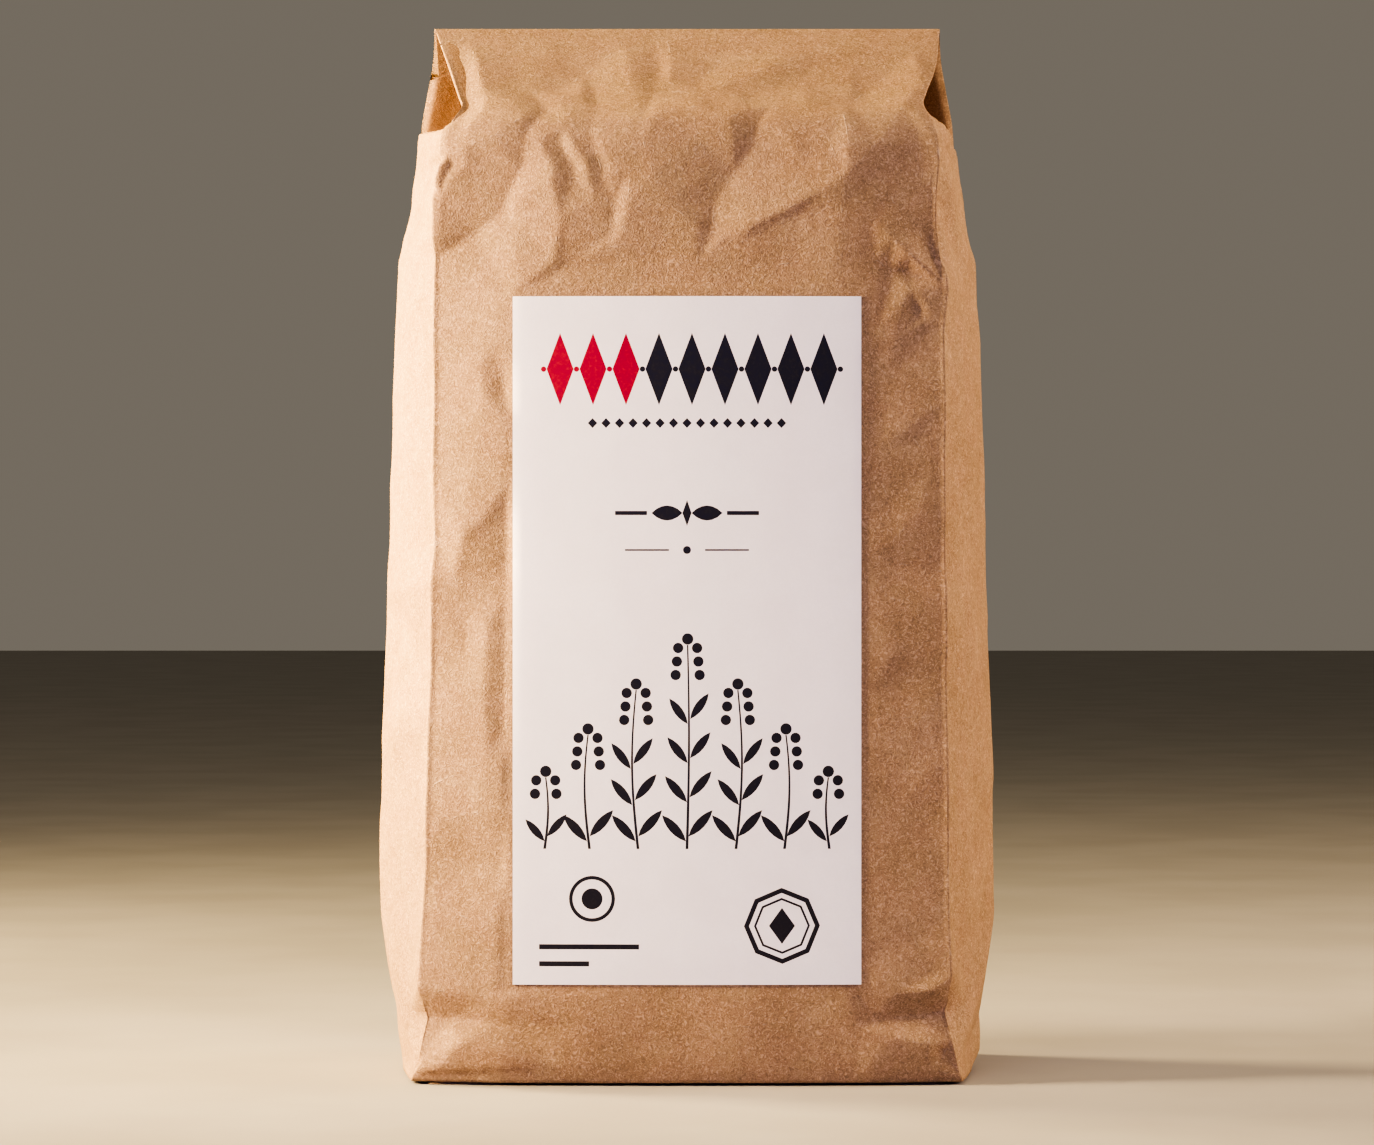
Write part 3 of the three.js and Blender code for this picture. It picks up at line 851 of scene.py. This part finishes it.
def surface_sampler(around, height, surface):
    """The bag's front surface as a function of x and height."""
    columns = np.abs(around[0]) <= FRONT_END
    front = surface[:, columns]
    rows = height[:, 0]

    def at(x, z):
        row = np.interp(z, rows, np.arange(len(rows)))
        low = np.clip(row.astype(int), 0, len(rows) - 2)
        depth = []
        for r in (low, low + 1):
            depth.append(np.array([np.interp(xi, front[ri, :, 0], front[ri, :, 1]) for xi, ri in zip(x, r)]))
        return mix(depth[0], depth[1], row - low)

    return at


LABEL_LIFT = 0.12
LABEL_PAPER = 0.16


def make_label(depth_at):
    """The label as a thin sheet on the bag's front. Its normals come from the surface under it."""
    flat, triangles, colours = label_layout()
    x, z = flat[:, 0], flat[:, 1] + LABEL_LOW[2]
    depth = depth_at(x, z)
    front = np.stack([x, depth - LABEL_LIFT - LABEL_PAPER, z], axis=1)
    back = np.stack([x, depth - 0.02, z], axis=1)
    count = len(front)
    used = {}
    for a, b, c in triangles:
        for edge in ((a, b), (b, c), (c, a)):
            used[edge] = used.get(edge, 0) + 1
    rim = [edge for edge in used if edge[::-1] not in used]
    faces = [list(t) for t in triangles]
    faces += [[k + count for k in t[::-1]] for t in triangles]
    faces += [[b, a, a + count, b + count] for a, b in rim]
    inks = colours + [0] * (len(faces) - len(colours))
    piece = mesh_object("paper_label", np.concatenate([front, back]), faces, inks)
    reach = 0.8
    lean = (depth_at(x + reach, z) - depth_at(x - reach, z)) / (2 * reach)
    rise = (depth_at(x, z + reach) - depth_at(x, z - reach)) / (2 * reach)
    normals = np.stack([lean, np.full_like(lean, -1), rise], axis=1)
    normals /= np.linalg.norm(normals, axis=1, keepdims=True)
    piece.data.normals_split_custom_set_from_vertices(np.concatenate([normals, -normals]).tolist())
    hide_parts("label")
    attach(piece, "root")
    piece.data.materials.append(label_paper())
    piece.data.materials.append(ink("black_ink", (0.016, 0.013, 0.011)))
    piece.data.materials.append(ink("red_ink", (0.37, 0.006, 0.02)))


# ---------------------------------------------------------------- materials


class Nodes:
    """Adds shader nodes to a material, one call for each."""

    def __init__(self, name):
        self.material = bpy.data.materials.new(name)
        self.material.use_nodes = True
        self.tree = self.material.node_tree
        self.shader = self.tree.nodes["Principled BSDF"]
        self.place = self.tree.nodes.new("ShaderNodeTexCoord").outputs["Object"]

    def put(self, socket, value):
        if isinstance(value, bpy.types.NodeSocket):
            self.tree.links.new(value, socket)
        else:
            socket.default_value = value

    def noise(self, size, detail=2.0, rough=0.5, distortion=0.0, shift=0.0):
        """Noise whose features are about size millimetres. A shift gives another noise of the kind."""
        mapping = self.tree.nodes.new("ShaderNodeMapping")
        mapping.inputs["Scale"].default_value = [1 / (size * MM)] * 3
        mapping.inputs["Location"].default_value = [shift] * 3
        self.put(mapping.inputs["Vector"], self.place)
        node = self.tree.nodes.new("ShaderNodeTexNoise")
        self.put(node.inputs["Vector"], mapping.outputs["Vector"])
        node.inputs["Scale"].default_value = 1.0
        node.inputs["Detail"].default_value = detail
        node.inputs["Roughness"].default_value = rough
        node.inputs["Distortion"].default_value = distortion
        return node.outputs["Fac"]

    def calc(self, operation, a, b=0.0, c=0.0):
        node = self.tree.nodes.new("ShaderNodeMath")
        node.operation = operation
        for socket, value in zip(node.inputs, (a, b, c)):
            self.put(socket, value)
        return node.outputs[0]

    def range(self, value, low, high, to_low=0.0, to_high=1.0):
        """A smooth step from to_low to to_high, as the value goes from low to high."""
        node = self.tree.nodes.new("ShaderNodeMapRange")
        node.interpolation_type = "SMOOTHSTEP"
        names = ("Value", "From Min", "From Max", "To Min", "To Max")
        for name, given in zip(names, (value, low, high, to_low, to_high)):
            self.put(node.inputs[name], given)
        return node.outputs["Result"]

    def mix(self, share, a, b):
        node = self.tree.nodes.new("ShaderNodeMix")
        node.data_type = "RGBA"
        for socket, value in ((node.inputs[0], share), (node.inputs[6], a), (node.inputs[7], b)):
            self.put(socket, value if isinstance(value, (float, bpy.types.NodeSocket)) else (*value, 1))
        return node.outputs[2]

    def bump(self, height, distance, strength):
        node = self.tree.nodes.new("ShaderNodeBump")
        node.inputs["Strength"].default_value = strength
        node.inputs["Distance"].default_value = distance * MM
        self.put(node.inputs["Height"], height)
        return node.outputs["Normal"]

    def finish(self, **sockets):
        for name, value in sockets.items():
            socket = self.shader.inputs[name.replace("_", " ")]
            self.put(socket, (*value, 1) if isinstance(value, tuple) and len(value) == 3 else value)
        return self.material


def curls(nodes, size, turns, distortion, shift):
    """Curly strands, from -1 between them to 1 on them: level lines of a smooth noise."""
    field = nodes.noise(size, 0.0, 0.5, distortion, shift)
    return nodes.calc("SINE", nodes.calc("MULTIPLY", field, turns))


def worn_creases_and_tuck_shade(nodes):
    """Thin broken lines where the paper was creased, and how deep a spot lies in a tuck, which darkens the
    paper there as painted shade.
    """
    crease_and_shade = nodes.tree.nodes.new("ShaderNodeAttribute")
    crease_and_shade.attribute_name = CREASE_AND_SHADE_ATTRIBUTE
    split = nodes.tree.nodes.new("ShaderNodeSeparateXYZ")
    nodes.put(split.inputs[0], crease_and_shade.outputs["Vector"])
    side, gap, tuck_shade = split.outputs
    wobble = nodes.calc("MULTIPLY", nodes.calc("SUBTRACT", nodes.noise(1.6, 2.0, 0.6), 0.5), 0.9)
    line = nodes.range(nodes.calc("ABSOLUTE", nodes.calc("ADD", side, wobble)), 0.0, 0.24, 1.0, 0.0)
    line = nodes.calc("MULTIPLY", line, nodes.range(gap, 0.8, 1.4, 1.0, 0.0))
    return nodes.calc("MULTIPLY", line, nodes.range(nodes.noise(2.6, 2.0, 0.6, 0.0, 4.0), 0.52, 0.7)), tuck_shade


def kraft_paper():
    """Unbleached kraft paper: cloudy brown, with fine curly fibres, light and dark, and worn creases. Deep
    in the tucks its colour is darkened as painted shade.
    """
    nodes = Nodes("kraft_paper")
    cloud = nodes.noise(12, 3.0, 0.55)
    tint = nodes.noise(7, 2.0, 0.5, 0.6, 3.0)
    blotch = nodes.noise(2.6, 2.0, 0.6, 0.4)
    strands = nodes.calc("MULTIPLY", curls(nodes, 1.05, 21, 0.8, 0.0), 0.55)
    strands = nodes.calc("MULTIPLY_ADD", curls(nodes, 0.75, 17, 0.8, 7.0), 0.45, strands)
    worn, tuck_shade = worn_creases_and_tuck_shade(nodes)
    colour = nodes.mix(nodes.range(cloud, 0.3, 0.7), (0.34, 0.22, 0.117), (0.4, 0.264, 0.146))
    colour = nodes.mix(nodes.range(tint, 0.35, 0.65, 0.0, 0.5), colour, (0.395, 0.242, 0.141))
    colour = nodes.mix(nodes.range(blotch, 0.35, 0.65, 0.0, 0.22), colour, (0.26, 0.155, 0.088))
    colour = nodes.mix(nodes.range(strands, 0.3, 0.95, 0.0, 0.5), colour, (0.66, 0.44, 0.28))
    colour = nodes.mix(nodes.range(strands, -0.95, -0.2, 0.46, 0.0), colour, (0.16, 0.107, 0.063))
    colour = nodes.mix(nodes.calc("MULTIPLY", worn, 0.35), colour, (0.66, 0.5, 0.36))
    # painted shade: the colour darkens to a deep brown inside the tucks, standing in for the shade there
    colour = nodes.mix(nodes.calc("MULTIPLY", tuck_shade, 0.5), colour, (0.2, 0.095, 0.035))
    height = nodes.calc("MULTIPLY_ADD", blotch, 0.7, nodes.calc("MULTIPLY", strands, 0.5))
    height = nodes.calc("MULTIPLY_ADD", worn, 1.5, height)
    normal = nodes.bump(height, 0.06, 0.8)
    rough = nodes.range(blotch, 0.3, 0.7, 0.72, 0.86)
    return nodes.finish(Base_Color=colour, Roughness=rough, Normal=normal, Specular_IOR_Level=0.32)


def label_paper():
    """Matt white label paper with a faint cloudiness."""
    nodes = Nodes("label_paper")
    cloud = nodes.noise(9, 3.0, 0.6)
    grain = nodes.noise(0.5, 2.0, 0.6)
    colour = nodes.mix(nodes.range(cloud, 0.3, 0.7), (0.82, 0.77, 0.775), (0.85, 0.805, 0.81))
    colour = nodes.mix(nodes.range(grain, 0.3, 0.7, 0.0, 0.25), colour, (0.78, 0.73, 0.735))
    height = nodes.calc("ADD", grain, nodes.calc("MULTIPLY", nodes.noise(1.8, 2.0, 0.5), 0.8))
    normal = nodes.bump(height, 0.03, 0.5)
    rough = nodes.range(grain, 0.3, 0.7, 0.55, 0.68)
    return nodes.finish(Base_Color=colour, Roughness=rough, Normal=normal, Specular_IOR_Level=0.35)


def ink(name, colour):
    """Printed ink: slightly uneven, and a little smoother than the paper."""
    nodes = Nodes(name)
    grain = nodes.noise(0.6, 2.0, 0.6)
    lighter = tuple(c * 1.5 + 0.01 for c in colour)
    shade = nodes.mix(nodes.range(grain, 0.45, 0.8, 0.0, 0.6), colour, lighter)
    normal = nodes.bump(grain, 0.02, 0.4)
    rough = nodes.range(grain, 0.3, 0.7, 0.42, 0.55)
    return nodes.finish(Base_Color=shade, Roughness=rough, Normal=normal, Specular_IOR_Level=0.4)


# ---------------------------------------------------------------- camera, floor and light


def make_camera():
    """Level with the middle of the bag and square to its front."""
    camera = bpy.data.objects.new("camera", bpy.data.cameras.new("camera"))
    bpy.context.scene.collection.objects.link(camera)
    distance, eye_height = 900.0, 103.1
    camera.location = (0, (LABEL_LOW[1] - distance) * MM, eye_height * MM)
    camera.rotation_euler = (math.pi / 2, 0, 0)
    camera.data.sensor_fit = "HORIZONTAL"
    camera.data.sensor_width = 36
    camera.data.lens = 117.9
    camera.data.clip_end = 20
    bpy.context.scene.camera = camera


def make_floor():
    """A wide pale floor."""
    floor = mesh_object(
        "floor", [(-4000, -3000, 0), (4000, -3000, 0), (4000, 5000, 0), (-4000, 5000, 0)], [[0, 1, 2, 3]]
    )
    nodes = Nodes("pale_floor")
    cloud = nodes.noise(60, 3.0, 0.5)
    colour = nodes.mix(nodes.range(cloud, 0.3, 0.7), (0.32, 0.3, 0.27), (0.35, 0.33, 0.3))
    floor.data.materials.append(nodes.finish(Base_Color=colour, Roughness=0.7))


def area_light(name, place, towards, size, power, colour, spread=180):
    """A rectangular lamp, in metres and watts. A spread under 180 degrees narrows its beam."""
    data = bpy.data.lights.new(name, "AREA")
    data.shape = "RECTANGLE"
    data.size, data.size_y = size
    data.energy = power
    data.color = colour
    data.spread = math.radians(spread)
    lamp = bpy.data.objects.new(name, data)
    lamp.location = place
    lamp.rotation_euler = (Vector(towards) - Vector(place)).to_track_quat("-Z", "Y").to_euler()
    bpy.context.scene.collection.objects.link(lamp)


def make_light():
    """A warm low sun from the left and behind, soft light from the front and the right, and a dim room."""
    middle = (0, 0, 0.11)
    area_light("key", (-0.384, -0.103, 0.215), (0, 0, 0.1), (0.12, 0.15), 0.98, (1, 0.77, 0.48), 68)
    area_light("left_back", (-0.511, 0.186, 0.364), middle, (0.15, 0.2), 7.4, (1, 0.76, 0.4))
    area_light("front_fill", (-0.15, -0.85, 1.6), middle, (1.2, 0.9), 11.5, (1, 0.8, 0.32))
    area_light("cool_fill", (-0.2, -1.7, 0.5), middle, (1.2, 0.9), 10, (0.15, 0.22, 1))
    area_light("right", (0.9, 0, 0.5), middle, (0.4, 0.5), 9, (1, 0.77, 0.6))
    world = bpy.data.worlds.new("soft_room")
    bpy.context.scene.world = world
    world.use_nodes = True
    background = world.node_tree.nodes["Background"]
    background.inputs["Color"].default_value = (1, 0.9, 0.76, 1)
    background.inputs["Strength"].default_value = 0.18


def make_scene():
    bpy.context.scene.view_settings.view_transform = "AgX"
    bpy.context.scene.view_settings.look = "AgX - Very High Contrast"
    make_camera()
    make_floor()
    make_light()
    around, height, surface = bag_surface()
    make_bag(surface, crease_lines_and_tuck_shade(around, height))
    make_label(surface_sampler(around, height, surface))


make_scene()
bpy.context.view_layer.update()
